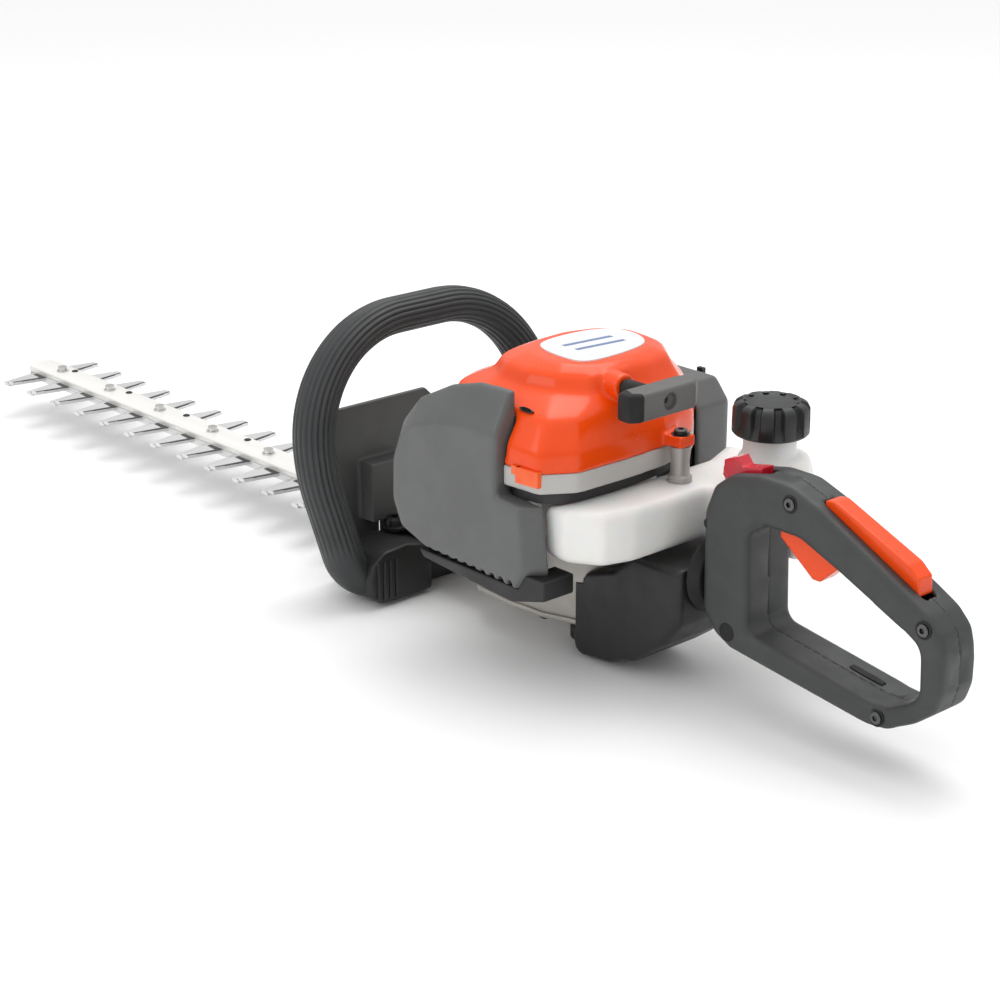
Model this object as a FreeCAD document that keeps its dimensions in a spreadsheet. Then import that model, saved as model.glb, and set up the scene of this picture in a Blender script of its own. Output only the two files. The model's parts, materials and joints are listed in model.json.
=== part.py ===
import FreeCAD, Part
import math
import os
import Sketcher
from FreeCAD import Placement, Rotation, Vector

# Petrol hedge trimmer with a double-sided cutter bar, in millimetres.
# +X points to the rear handle, -X along the blades, +Z up; the resting plane is z = 0
# and the vertical crankshaft is the Z axis.

DRIVING_SIZES = {
    # cutter bar
    "tooth_pitch": 35, "tooth_count": 13, "first_tooth": -640, "blade_half": 13, "tooth_tip": 40,
    "tooth_root_width": 18, "tooth_tip_width": 7, "blade_low": 26, "blade_thick": 2.4, "blade_gap": 0.1,
    "bar_thick": 4, "bar_half": 12, "bar_tip": -660, "bolt_radius": 3.5,
    # reduction gearing and clutch
    "gear_module": 1.2, "pinion_teeth": 12, "gear_teeth": 45, "gear_low": 37, "gear_thick": 8,
    "disc_radius": 14, "case_low": 23, "case_top": 50, "case_wall": 4, "cover_low": 19, "drum_radius": 27,
    "drum_low": 51, "drum_tall": 15, "clutch_case_radius": 34,
    # engine
    "crank_radius": 6, "throw": 13.5, "rod_length": 50, "engine_axis": 106, "bore_radius": 15.97,
    "piston_gap": 0.07, "web_radius": 22, "web_thick": 7, "rod_thick": 9, "pin_radius": 4.5,
    "crankcase_radius": 35, "cavity_radius": 30.5, "head_end": 86, "fin_half": 26,
    "flywheel_radius": 38, "flywheel_low": 141,
    # starter
    "rope_height": 180, "rope_side": -27, "rope_radius": 2, "pulley_radius": 28.5, "dome_top": 192,
    "band_low": 126, "band_top": 138, "cover_wall": 3,
    # side cover
    "side_face": -96, "side_inner": -62,
    # tank and cap
    "tank_low": 84, "tank_top": 118, "cap_x": 99, "cap_y": 43, "cap_radius": 23, "cap_low": 150,
    # handles
    "loop_x": -145, "loop_half": 96, "loop_top": 179, "loop_foot": 12.3, "loop_lean": 9,
    "loop_thick": 24, "loop_deep": 33, "grip_half": 20, "grip_wall": 3.5, "guard_x": -187,
}

doc = FreeCAD.newDocument("HedgeTrimmer")
sheet = doc.addObject("Spreadsheet::Sheet", "Sizes")
nodes = []


class Size:
    """A length that carries both its number and its spreadsheet expression."""

    def __init__(self, number, text):
        self.number = number
        self.text = text

    def _join(self, other, sign, number):
        return Size(number, f"({self.text} {sign} {text_of(other)})")

    def __add__(self, other):
        return self._join(other, "+", self.number + number_of(other))

    def __sub__(self, other):
        return self._join(other, "-", self.number - number_of(other))

    def __mul__(self, other):
        return self._join(other, "*", self.number * number_of(other))

    def __truediv__(self, other):
        return self._join(other, "/", self.number / number_of(other))

    def __radd__(self, other):
        return Size(number_of(other), text_of(other)) + self

    def __rsub__(self, other):
        return Size(number_of(other), text_of(other)) - self

    def __rmul__(self, other):
        return self * other

    def __neg__(self):
        return self * -1


def number_of(size):
    return size.number if isinstance(size, Size) else float(size)


def text_of(size):
    return size.text if isinstance(size, Size) else f"({size:.6g})"


class SheetSizes:
    """Gives each spreadsheet alias as an attribute."""


def fill_sheet():
    sizes = SheetSizes()
    for row, (alias, number) in enumerate(DRIVING_SIZES.items(), start=1):
        sheet.set(f"A{row}", alias)
        sheet.set(f"B{row}", str(number))
        sheet.setAlias(f"B{row}", alias)
        setattr(sizes, alias, Size(float(number), f"Sizes.{alias}"))
    doc.recompute()
    return sizes


def bind(thing, prop, size):
    thing.setExpression(prop, text_of(size))


# ---------------------------------------------------------------- PartDesign bodies

def draw_outline(sketch, points):
    """A closed outline of straight edges whose corners are tied to the sheet."""
    first = sketch.GeometryCount
    count = len(points)
    flat = [(number_of(x), number_of(y)) for x, y in points]
    for index in range(count):
        start, end = flat[index], flat[(index + 1) % count]
        sketch.addGeometry(Part.LineSegment(Vector(*start, 0), Vector(*end, 0)))
    for index in range(count):
        following = first + (index + 1) % count
        sketch.addConstraint(Sketcher.Constraint("Coincident", first + index, 2, following, 1))
        place_point(sketch, first + index, 1, points[index])


def place_point(sketch, geometry, vertex, point):
    for kind, axis, size in (("DistanceX", -2, point[0]), ("DistanceY", -1, point[1])):
        if abs(number_of(size)) < 1e-6:
            sketch.addConstraint(Sketcher.Constraint("PointOnObject", geometry, vertex, axis))
            continue
        number = number_of(size)
        index = sketch.addConstraint(Sketcher.Constraint(kind, -1, 1, geometry, vertex, number))
        if isinstance(size, Size):
            bind(sketch, f"Constraints[{index}]", size)


def draw_circle(sketch, centre, radius):
    middle = Vector(number_of(centre[0]), number_of(centre[1]), 0)
    circle = Part.Circle(middle, Vector(0, 0, 1), number_of(radius))
    geometry = sketch.addGeometry(circle)
    place_point(sketch, geometry, 3, centre)
    index = sketch.addConstraint(Sketcher.Constraint("Radius", geometry, number_of(radius)))
    if isinstance(radius, Size):
        bind(sketch, f"Constraints[{index}]", radius)


class Piece:
    """A sub-part built as a PartDesign body; offsets run along the plane's own normal."""

    def __init__(self, label):
        self.body = doc.addObject("PartDesign::Body", label)
        self.body.Label = label
        nodes.append(self.body)

    def sketch(self, plane, offset, outlines=(), circles=()):
        sketch = self.body.newObject("Sketcher::SketchObject", "Sketch")
        origin = [item for item in self.body.Origin.OriginFeatures if item.Role == f"{plane}_Plane"][0]
        sketch.AttachmentSupport = [(origin, "")]
        sketch.MapMode = "FlatFace"
        bind(sketch, "AttachmentOffset.Base.z", offset)
        for points in outlines:
            draw_outline(sketch, points)
        for centre, radius in circles:
            draw_circle(sketch, centre, radius)
        return sketch

    def feature(self, kind, sketch, length, reverse=False):
        feature = self.body.newObject(f"PartDesign::{kind}", kind)
        feature.Profile = sketch
        bind(feature, "Length", length)
        feature.Reversed = reverse
        sketch.Visibility = False
        doc.recompute()
        return self

    def pad(self, plane, offset, length, outlines=(), circles=(), reverse=False):
        return self.feature("Pad", self.sketch(plane, offset, outlines, circles), length, reverse)

    def pocket(self, plane, offset, length, outlines=(), circles=(), reverse=False):
        before = self.body.Shape.Volume
        self.feature("Pocket", self.sketch(plane, offset, outlines, circles), length, reverse)
        if self.body.Shape.Volume > before - 1e-3:
            raise RuntimeError(f"{self.body.Label}: a pocket removed nothing")
        return self

    def loft(self, *sketches):
        feature = self.body.newObject("PartDesign::AdditiveLoft", "Loft")
        feature.Profile = sketches[0]
        feature.Sections = list(sketches[1:])
        feature.Ruled = True
        doc.recompute()
        return self

    def hollow_loft(self, *sketches):
        feature = self.body.newObject("PartDesign::SubtractiveLoft", "Hollow")
        feature.Profile = sketches[0]
        feature.Sections = list(sketches[1:])
        feature.Ruled = True
        doc.recompute()
        return self

    def round(self, radius, wanted):
        """Rounds the edges for which wanted(edge) is true."""
        base = self.body.Tip
        names = [f"Edge{number}" for number, edge in enumerate(base.Shape.Edges, 1) if wanted(edge)]
        fillet = self.body.newObject("PartDesign::Fillet", "Fillet")
        fillet.Base = (base, names)
        bind(fillet, "Radius", radius)
        doc.recompute()
        return self

    def repeat(self, axis, length, count):
        """Repeats the last feature along an axis of the body."""
        feature = self.body.Tip
        pattern = self.body.newObject("PartDesign::LinearPattern", "Pattern")
        pattern.Originals = [feature]
        line = [item for item in self.body.Origin.OriginFeatures if item.Role == f"{axis}_Axis"][0]
        pattern.Direction = (line, [""])
        bind(pattern, "Length", length)
        bind(pattern, "Occurrences", count)
        self.body.Tip = pattern
        doc.recompute()
        return self

def along(edge, axis):
    """True for a straight edge parallel to the named axis."""
    if len(edge.Vertexes) != 2 or edge.Curve.TypeId != "Part::GeomLine":
        return False
    step = edge.Vertexes[1].Point - edge.Vertexes[0].Point
    return abs(getattr(step, axis)) > 0.999 * step.Length


def edge_middle(edge):
    return edge.valueAt((edge.FirstParameter + edge.LastParameter) / 2)


def at_level(edge, axis, level):
    """True for an edge that lies in the plane axis = level."""
    return all(abs(getattr(v.Point, axis) - number_of(level)) < 1e-3 for v in edge.Vertexes)


def rectangle(low, high):
    return [(low[0], low[1]), (high[0], low[1]), (high[0], high[1]), (low[0], high[1])]


def inset(points, wall):
    """Moves each edge of an outline inwards by the wall thickness."""
    flat = [(number_of(x), number_of(y)) for x, y in points]
    count = len(flat)
    ends = [flat[(i + 1) % count] for i in range(count)]
    area = sum(start[0] * end[1] - end[0] * start[1] for start, end in zip(flat, ends))
    turn = 1 if area > 0 else -1
    result = []
    for index in range(count):
        before, here, after = flat[index - 1], flat[index], flat[(index + 1) % count]
        first, second = edge_normal(before, here, turn), edge_normal(here, after, turn)
        share = 1 + first[0] * second[0] + first[1] * second[1]
        shift = ((first[0] + second[0]) / share, (first[1] + second[1]) / share)
        result.append(tuple(size + wall * step for size, step in zip(points[index], shift)))
    return result


def edge_normal(start, end, turn):
    step = (end[0] - start[0], end[1] - start[1])
    length = math.hypot(*step)
    return (-step[1] / length * turn, step[0] / length * turn)


# ---------------------------------------------------------------- Part primitives

TURNS = {
    "Z": Rotation(),
    "X": Rotation(Vector(0, 1, 0), 90),
    "-X": Rotation(Vector(0, 1, 0), -90),
    "Y": Rotation(Vector(1, 0, 0), -90),
    "-Y": Rotation(Vector(1, 0, 0), 90),
}


def placed(thing, place, turn="Z"):
    thing.Placement = Placement(Vector(*[number_of(size) for size in place]), TURNS[turn])
    for axis, size in zip("xyz", place):
        bind(thing, f"Placement.Base.{axis}", size)
    return thing


def cylinder(radius, height, place, turn="Z"):
    thing = doc.addObject("Part::Cylinder", "Cylinder")
    bind(thing, "Radius", radius)
    bind(thing, "Height", height)
    return placed(thing, place, turn)


def cone(radius_low, radius_high, height, place, turn="Z"):
    thing = doc.addObject("Part::Cone", "Cone")
    bind(thing, "Radius1", radius_low)
    bind(thing, "Radius2", radius_high)
    bind(thing, "Height", height)
    return placed(thing, place, turn)


def box(low, high):
    thing = doc.addObject("Part::Box", "Box")
    for prop, start, end in zip(("Length", "Width", "Height"), low, high):
        bind(thing, prop, end - start)
    return placed(thing, low)


def fuse(*things):
    thing = doc.addObject("Part::MultiFuse", "Fuse")
    thing.Shapes = list(things)
    thing.Refine = True
    return thing


def cut(base, *tools):
    thing = doc.addObject("Part::Cut", "Cut")
    thing.Base = base
    thing.Tool = tools[0] if len(tools) == 1 else fuse(*tools)
    thing.Refine = True
    return thing


def ring(outer, inner, height, place, turn="Z"):
    return cut(cylinder(outer, height, place, turn), cylinder(inner, height, place, turn))


def group(*things):
    """Separate solids that share one node."""
    thing = doc.addObject("Part::Compound", "Group")
    thing.Links = list(things)
    return thing


def node(label, thing):
    thing.Label = label
    nodes.append(thing)
    return thing


d = fill_sheet()

# ---------------------------------------------------------------- cutter bar

gear_x = -(d.gear_module * (d.pinion_teeth + d.gear_teeth) / 2)
upper_low = d.blade_low + d.blade_thick + d.blade_gap
bar_low = upper_low + d.blade_thick + d.blade_gap
disc_sway = 7.9
disc_shift = 3.75
bolt_xs = [d.first_tooth + 17.5 + d.tooth_pitch * step for step in range(0, 13, 2)]


def blade(label, low, shift, slot_back, slot_front):
    """A toothed strip with bolt slots and a yoke that the eccentric disc drives."""
    piece = Piece(label)
    yoke_x = gear_x + shift
    spine_tip = d.bar_tip + 4 + shift
    spine = [
        (spine_tip, -d.blade_half + 5), (spine_tip + 8, -d.blade_half), (yoke_x - 24, -d.blade_half),
        (yoke_x - 18, -28), (yoke_x + 19, -28), (yoke_x + 19, 28), (yoke_x - 18, 28),
        (yoke_x - 24, d.blade_half), (spine_tip + 8, d.blade_half), (spine_tip, d.blade_half - 5),
    ]
    piece.pad("XY", low, d.blade_thick, [spine])
    for side in (-1, 1):
        centre = d.first_tooth + shift
        tooth = [
            (centre - d.tooth_root_width / 2, side * (d.blade_half - 1)),
            (centre - d.tooth_tip_width / 2, side * d.tooth_tip),
            (centre + d.tooth_tip_width / 2, side * d.tooth_tip),
            (centre + d.tooth_root_width / 2, side * (d.blade_half - 1)),
        ]
        piece.pad("XY", low, d.blade_thick, [tooth])
        piece.repeat("X", d.tooth_pitch * (d.tooth_count - 1), d.tooth_count)
    slots = []
    for bolt_x in bolt_xs:
        start = bolt_x + slot_back - d.bolt_radius
        end = bolt_x + slot_front + d.bolt_radius
        slots.append(rectangle((start, -d.bolt_radius - 0.3), (end, d.bolt_radius + 0.3)))
    window = rectangle((yoke_x - d.disc_radius - 0.05, -23.5), (yoke_x + d.disc_radius + 0.05, 23.5))
    piece.pocket("XY", low, d.blade_thick, slots + [window], reverse=True)
    return piece


def eccentric(label, low, side):
    disc = cylinder(d.disc_radius, d.blade_thick, (gear_x + side * disc_shift, side * disc_sway, low))
    node(label, cut(disc, cylinder(4, d.blade_thick, (gear_x, 0, low))))


def guide_bar():
    piece = Piece("guide_bar")
    outline = [
        (d.bar_tip, -d.bar_half + 6), (d.bar_tip + 6, -d.bar_half), (-92, -d.bar_half),
        (-92, d.bar_half), (d.bar_tip + 6, d.bar_half), (d.bar_tip, d.bar_half - 6),
    ]
    holes = [((x, 0), d.bolt_radius) for x in bolt_xs + [-112, -126]]
    piece.pad("XY", bar_low, d.bar_thick, [outline], holes)
    piece.round(1.2, lambda edge: along(edge, "x") and at_level(edge, "z", bar_low + d.bar_thick))


def bar_bolts():
    bolts = []
    for x in bolt_xs:
        bolts.append(fuse(
            cylinder(4.6, 0.9, (x, 0, bar_low + d.bar_thick)),
            cylinder(d.bolt_radius, 14.9, (x, 0, 24)),
        ))
    node("bar_bolts", group(*bolts))
    nuts = [ring(6.5, d.bolt_radius, 4, (x, 0, d.blade_low - 4.1)) for x in bolt_xs]
    node("bar_lock_nuts", group(*nuts))


# ---------------------------------------------------------------- gears

def gear_outline(teeth, x_centre, first_angle):
    """Straight-flanked teeth with backlash, as corner points round the circle."""
    pitch_radius = number_of(d.gear_module) * teeth / 2
    tip, root = pitch_radius + 1.0 * 1.1, pitch_radius - 1.5
    step = 2 * math.pi / teeth
    points = []
    for tooth in range(teeth):
        middle = first_angle + tooth * step
        for radius, share in ((root, -0.29), (tip, -0.12), (tip, 0.12), (root, 0.29)):
            angle = middle + share * step
            points.append(Vector(x_centre + radius * math.cos(angle), radius * math.sin(angle), 0))
    return points + [points[0]]


def toothed_wheel(teeth, x_centre, first_angle, low, thick, bore):
    """A toothed disc; its outline is worked out from the tooth count on the sheet."""
    face = Part.Face(Part.makePolygon(gear_outline(teeth, x_centre, first_angle)))
    wheel = face.extrude(Vector(0, 0, number_of(thick)))
    wheel.translate(Vector(0, 0, number_of(low)))
    hole = Part.makeCylinder(bore, number_of(thick), Vector(x_centre, 0, number_of(low)))
    return wheel.cut(hole)


def feature(label, shape):
    thing = doc.addObject("Part::Feature", label)
    thing.Shape = shape
    thing.Placement = Placement(Vector(0, 0, 0), Rotation())
    return node(label, thing)


def gear_train():
    small, large = int(number_of(d.pinion_teeth)), int(number_of(d.gear_teeth))
    wheel = toothed_wheel(large, number_of(gear_x), math.pi / large, d.gear_low, d.gear_thick, 6)
    feature("drive_gear", wheel)
    feature("drive_pinion", toothed_wheel(small, 0, math.pi, d.gear_low - 0.5, d.gear_thick + 1, 5))
    node("gear_shaft", fuse(
        cylinder(6, d.gear_thick, (gear_x, 0, d.gear_low)),
        cylinder(8, d.gear_low - bar_low, (gear_x, 0, bar_low)),
        cylinder(5, d.case_top - d.gear_low - 0.5, (gear_x, 0, d.gear_low)),
    ))


def clutch():
    floor = d.drum_low + 2.5
    wall = ring(d.drum_radius, d.drum_radius - 2, d.drum_tall, (0, 0, d.drum_low))
    plate = cylinder(d.drum_radius, 2.5, (0, 0, d.drum_low))
    stem = cylinder(5, d.drum_low - d.gear_low + 0.5, (0, 0, d.gear_low - 0.5))
    node("clutch_drum", fuse(wall, plate, stem))
    shoes = ring(d.drum_radius - 3, 10, 9, (0, 0, floor + 1.5))
    gap = box((-30, -1.5, floor + 1), (30, 1.5, floor + 11))
    node("clutch_shoes", cut(shoes, gap))


def case_outline(grow):
    """Plan of the gear case: round at the clutch, wide at the gear, with a nose round the blades."""
    end_radius = 29 + grow
    end = []
    for step in range(5):
        angle = math.radians(-60 + 30 * step)
        end.append((end_radius * math.cos(angle), end_radius * math.sin(angle)))
    side = [(-12, 34 + grow), (-40, 36 + grow), (-72, 34 + grow), (-84, 24 + grow), (-138 - grow, 22 + grow)]
    mirrored = [(x, -y) for x, y in reversed(side)]
    return mirrored + end + side


def gear_case():
    upper = Piece("gear_case")
    upper.pad("XY", d.case_low, d.case_top - d.case_low, [case_outline(0)])
    upper.round(3, lambda edge: at_level(edge, "z", d.case_top))
    cavity = [
        (-70, -31), (-36, -33), (-12, -31), (12, -21), (20, -12), (20, 12), (12, 21), (-12, 31), (-36, 33),
        (-70, 31), (-80, 20), (-80, -20),
    ]
    upper.pocket("XY", d.case_low, d.case_top - d.case_wall - d.case_low, [cavity], reverse=True)
    throat = rectangle((-140, -13.4), (-78, 13.4))
    upper.pocket("XY", d.case_low, bar_low + d.bar_thick - d.case_low, [throat], reverse=True)
    bores = [((0, 0), 11), ((gear_x, 0), 5.05)]
    upper.pocket("XY", d.case_low, 40, [], bores, reverse=True)
    lower = Piece("gear_case_cover")
    lower.pad("XY", d.cover_low, d.case_low - d.cover_low, [case_outline(2)])
    lower.round(2.5, lambda edge: at_level(edge, "z", d.cover_low))
    case = ring(d.clutch_case_radius, d.clutch_case_radius - 4, 28, (0, 0, d.case_top))
    node("clutch_housing", case)


# ---------------------------------------------------------------- engine

def crankcase():
    wall_low, wall_high = d.engine_axis - 28, d.engine_axis + 28
    for label, low, high, side in (
        ("crankcase_lower", wall_low, d.engine_axis, -1),
        ("crankcase_upper", d.engine_axis, wall_high, 1),
    ):
        shell = fuse(
            cylinder(d.crankcase_radius, high - low, (0, 0, low)),
            box((-38, -24, low), (0, 24, high)),
        )
        cavity_low = d.engine_axis - 15 if side < 0 else d.engine_axis
        bearing_low = wall_low + 1 if side < 0 else wall_high - 11
        shaft_hole = cylinder(d.crank_radius + 0.5, 28, (0, 0, low))
        node(label, cut(
            shell,
            cylinder(d.cavity_radius, 15, (0, 0, cavity_low)),
            cylinder(16.5, 45, (0, 0, d.engine_axis), "-X"),
            cylinder(14, 10, (0, 0, bearing_low)),
            shaft_hole,
        ))
    bearings = [
        ring(14, d.crank_radius + 0.03, 10, (0, 0, wall_low + 1)),
        ring(14, d.crank_radius + 0.03, 10, (0, 0, wall_high - 11)),
        ring(11, 5.05, d.case_wall, (0, 0, d.case_top - d.case_wall)),
    ]
    node("shaft_bearings", group(*bearings))


def crankshaft():
    web_gap = d.rod_thick / 2 + 1.5
    lower_web = d.engine_axis - web_gap - d.web_thick
    upper_web = d.engine_axis + web_gap
    node("crankshaft_lower", fuse(
        cylinder(d.web_radius, d.web_thick, (0, 0, lower_web)),
        cylinder(d.crank_radius, lower_web - d.drum_low - 4, (0, 0, d.drum_low + 4)),
        cylinder(10, 9, (0, 0, d.drum_low + 4)),
    ))
    node("crankshaft_upper", fuse(
        cylinder(d.web_radius, d.web_thick, (0, 0, upper_web)),
        cylinder(d.crank_radius, 171 - upper_web, (0, 0, upper_web)),
    ))
    pin_reach = web_gap - 0.3
    big_end = -d.throw
    small_end = big_end - d.rod_length
    rod_low = d.engine_axis - d.rod_thick / 2
    rod = fuse(
        cylinder(9, d.rod_thick, (big_end, 0, rod_low)),
        cylinder(7.5, d.rod_thick, (small_end, 0, rod_low)),
        box((small_end, -4.5, rod_low), (big_end, 4.5, rod_low + d.rod_thick)),
    )
    node("connecting_rod", cut(
        rod,
        cylinder(5, d.rod_thick, (big_end, 0, rod_low)),
        cylinder(d.pin_radius + 0.05, d.rod_thick, (small_end, 0, rod_low)),
    ))
    node("crank_pin", cylinder(5, 2 * pin_reach, (big_end, 0, d.engine_axis - pin_reach)))


def piston():
    pin_x = -d.throw - d.rod_length
    crown_x = pin_x - 13
    radius = d.bore_radius - d.piston_gap
    body = cylinder(radius, 24, (crown_x, 0, d.engine_axis), "X")
    hollow = box((crown_x + 4, -10.5, d.engine_axis - 6.5), (crown_x + 26, 10.5, d.engine_axis + 6.5))
    pin_low = d.engine_axis - 13
    groove = ring(radius + 1, radius - 1.2, 1.6, (crown_x + 3, 0, d.engine_axis), "X")
    node("piston", cut(body, hollow, cylinder(d.pin_radius, 26, (pin_x, 0, pin_low)), groove))
    node("wrist_pin", cylinder(d.pin_radius, 26, (pin_x, 0, pin_low)))
    node("piston_ring", ring(radius, radius - 1.2, 1.6, (crown_x + 3, 0, d.engine_axis), "X"))


def top_end():
    front = -d.head_end
    barrel = cylinder(d.bore_radius + 5, d.head_end - 38, (front, 0, d.engine_axis), "X")
    fins = [
        box((front + 2 + 5.6 * step, -d.fin_half, d.engine_axis - d.fin_half),
            (front + 4 + 5.6 * step, d.fin_half, d.engine_axis + d.fin_half)) for step in range(8)
    ]
    ports = [cylinder(10, d.fin_half + 3, (-50, 0, d.engine_axis), turn) for turn in ("Y", "-Y")]
    bore = cylinder(d.bore_radius, d.head_end - 38, (front + 7, 0, d.engine_axis), "X")
    plug_hole = cylinder(5, 8, (front, 0, d.engine_axis), "X")
    port_holes = [cylinder(6, d.fin_half + 4, (-50, 0, d.engine_axis), turn) for turn in ("Y", "-Y")]
    node("cylinder", cut(fuse(barrel, *fins, *ports), bore, plug_hole, *port_holes))
    node("spark_plug", fuse(
        cylinder(5, 7, (front + 6, 0, d.engine_axis), "-X"),
        cylinder(8, 7, (front, 0, d.engine_axis), "-X"),
        cylinder(4.5, 24, (front - 7, 0, d.engine_axis), "-X"),
    ))
    node("plug_boot", cut(
        cylinder(8.5, 24, (front - 12, 0, d.engine_axis), "-X"),
        cylinder(4.5, 19, (front - 12, 0, d.engine_axis), "-X"),
    ))
    node("muffler", fuse(
        box((-72, -84, 92), (-24, -44, 126)),
        ring(10, 6, 15, (-50, -44, d.engine_axis), "Y"),
    ))


def flywheel():
    low = d.flywheel_low
    vanes = [box((12, -1, low + 6), (36, 1, low + 18)) for _ in range(12)]
    for step, vane in enumerate(vanes):
        turned = Rotation(Vector(0, 0, 1), 30 * step)
        corner = turned.multVec(Vector(12, -1, 0)) + Vector(0, 0, number_of(low) + 6)
        vane.Placement = Placement(corner, turned)
        for axis in "xyz":
            vane.setExpression(f"Placement.Base.{axis}", None)
    disc = cylinder(d.flywheel_radius, 6, (0, 0, low))
    hub = cylinder(14, 18, (0, 0, low))
    node("flywheel", cut(fuse(disc, hub, *vanes), cylinder(d.crank_radius, 20, (0, 0, low))))
    node("starter_cup", ring(13, d.crank_radius, 8, (0, 0, low + 19)))
    node("ignition_coil", box((-60, -10, low + 1), (-40, 10, low + 9)))


# ---------------------------------------------------------------- starter

def starter():
    height = d.rope_height
    low, high = height - 7, height + 5
    body = ring(d.pulley_radius, 6.05, high - low, (0, 0, low))
    groove = ring(d.pulley_radius + 2, 24.5, 6, (0, 0, height - 3))
    node("starter_pulley", cut(body, groove))
    node("wound_rope", ring(27.5, 24.5, 5.6, (0, 0, height - 2.8)))
    node("recoil_spring", ring(20, 8, 3, (0, 0, high + 0.5)))
    exit_x = 48.3
    node("starter_rope", cylinder(d.rope_radius, 26, (30, d.rope_side, height), "X"))
    grip = Piece("starter_handle")
    middle = d.rope_side - 2
    bar = [
        (69, middle - 22), (72, middle - 28), (81, middle - 28), (85, middle - 22),
        (85, middle + 22), (81, middle + 28), (72, middle + 28), (69, middle + 22),
    ]
    grip.pad("XY", height - 8.5, 17, [bar])
    grip.round(2.5, lambda edge: at_level(edge, "z", height - 8.5) or at_level(edge, "z", height + 8.5))
    grip.pad("YZ", exit_x, 24, [], [((d.rope_side, height), 5.5)])
    grip.pocket("YZ", 0, 81, [], [((d.rope_side, height), d.rope_radius)], reverse=True)
    grip.pocket("YZ", 81, 10, [], [((d.rope_side, height), 5)], reverse=True)


# Plans of the starter housing, all with the same number of corners, starting at the front left.
SKIRT = [
    (-70, -46), (-62, -68), (-25, -86), (12, -90), (40, -88), (53, -68), (54, -30),
    (52, 4), (42, 38), (18, 64), (-25, 66), (-60, 52), (-72, 10),
]
SHOULDER = [
    (-66, -44), (-58, -63), (-28, -77), (8, -80), (36, -77), (46, -62), (47, -30),
    (45, 3), (37, 34), (14, 55), (-25, 56), (-55, 44), (-67, 8),
]
CREST = [
    (-46, -36), (-42, -50), (-24, -61), (0, -63), (22, -56), (37, -44), (39, -24),
    (39, 3), (32, 31), (11, 47), (-25, 48), (-44, 36), (-49, 4),
]
LABEL_SEAT = [
    (-31, -14), (-28, -28), (-18, -39), (2, -45), (15, -43), (26, -33), (28, -18), (26, 2), (20, 18), (4, 31),
    (-10, 34), (-25, 21), (-32, 4),
]


def part_way(start, end, share):
    """The plan that lies between two plans."""
    return [(a[0] + (b[0] - a[0]) * share, a[1] + (b[1] - a[1]) * share) for a, b in zip(start, end)]


def starter_housing():
    wall = d.cover_wall
    shell = Piece("starter_housing")
    crown = part_way(CREST, LABEL_SEAT, 0.25)
    outside = (
        (d.band_top, SKIRT), (d.band_top + 12, SKIRT), (d.band_top + 30, SHOULDER), (d.band_top + 39, CREST),
        (d.dome_top - 6, crown), (d.dome_top, LABEL_SEAT),
    )
    inside = (
        (d.band_top, SKIRT), (d.band_top + 11, SKIRT), (d.band_top + 27, SHOULDER), (d.band_top + 36, CREST),
        (d.dome_top - 8, crown), (d.dome_top - 3, LABEL_SEAT),
    )
    shell.loft(*[shell.sketch("XY", height, [plan]) for height, plan in outside])
    shell.hollow_loft(*[shell.sketch("XY", height, [inset(plan, wall)]) for height, plan in inside])
    shell.pad("XY", d.rope_height - 8, 17, [], [((0, 0), 6)])
    shell.pad("XY", d.band_top + 2, 7, [[(50, 0), (50, 16), (66, 14), (66, 2)]])
    shell.pad("YZ", 30, 18, [], [((d.rope_side, d.rope_height), 8)])
    shell.pocket("YZ", 0, 60, [], [((d.rope_side, d.rope_height), 4)], reverse=True)
    shell.pocket("XZ", -d.side_inner - 0.3, 60, [rectangle((-90, 120), (12.3, 150.3))], reverse=True)
    shell.pocket("XZ", 78.7, 40, [rectangle((-90, 150.3), (12.3, 190))], reverse=True)
    band = Piece("fan_housing_band")
    band.pad("XY", d.band_low, d.band_top - d.band_low, [SKIRT, inset(SKIRT, wall)])
    band.pocket("XY", d.band_low, 20, [rectangle((-90, -95), (12.3, 60))], reverse=True)


# ---------------------------------------------------------------- covers and fuel

COVER_BACK = [
    (-84, 74), (-92, 92), (-92, 122), (-84, 142), (-69, 159), (-41, 173), (-15, 180), (12, 181),
    (12, 138), (12, 120), (40, 118), (46, 78), (34, 64), (-10, 66), (-56, 67),
]
COVER_FACE = [
    (-74, 78), (-82, 94), (-81, 120), (-74, 135), (-62, 145), (-40, 152), (-15, 156), (12, 157),
    (12, 138), (12, 120), (32, 118), (36, 80), (28, 67), (-10, 69), (-50, 70),
]


def muffler_cover():
    """The left engine cover: a deep tray, open towards the engine, whose face is smaller than its back."""
    cover = Piece("muffler_cover")
    wall = d.cover_wall
    shoulder = d.side_face + 12
    outside = ((d.side_inner, COVER_BACK), (shoulder, COVER_BACK), (d.side_face, COVER_FACE))
    inside = ((d.side_inner, COVER_BACK), (shoulder + 1, COVER_BACK), (d.side_face + wall, COVER_FACE))
    cover.loft(*[cover.sketch("XZ", -depth, [outline]) for depth, outline in outside])
    cover.hollow_loft(*[cover.sketch("XZ", -depth, [inset(outline, wall)]) for depth, outline in inside])
    cover.pocket("XZ", -d.side_inner, 21, [rectangle((9, 60), (60, 124))], reverse=True)
    cover.pocket("XZ", -d.side_inner, 17, [rectangle((-90, 150), (20, 190))], reverse=True)


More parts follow.
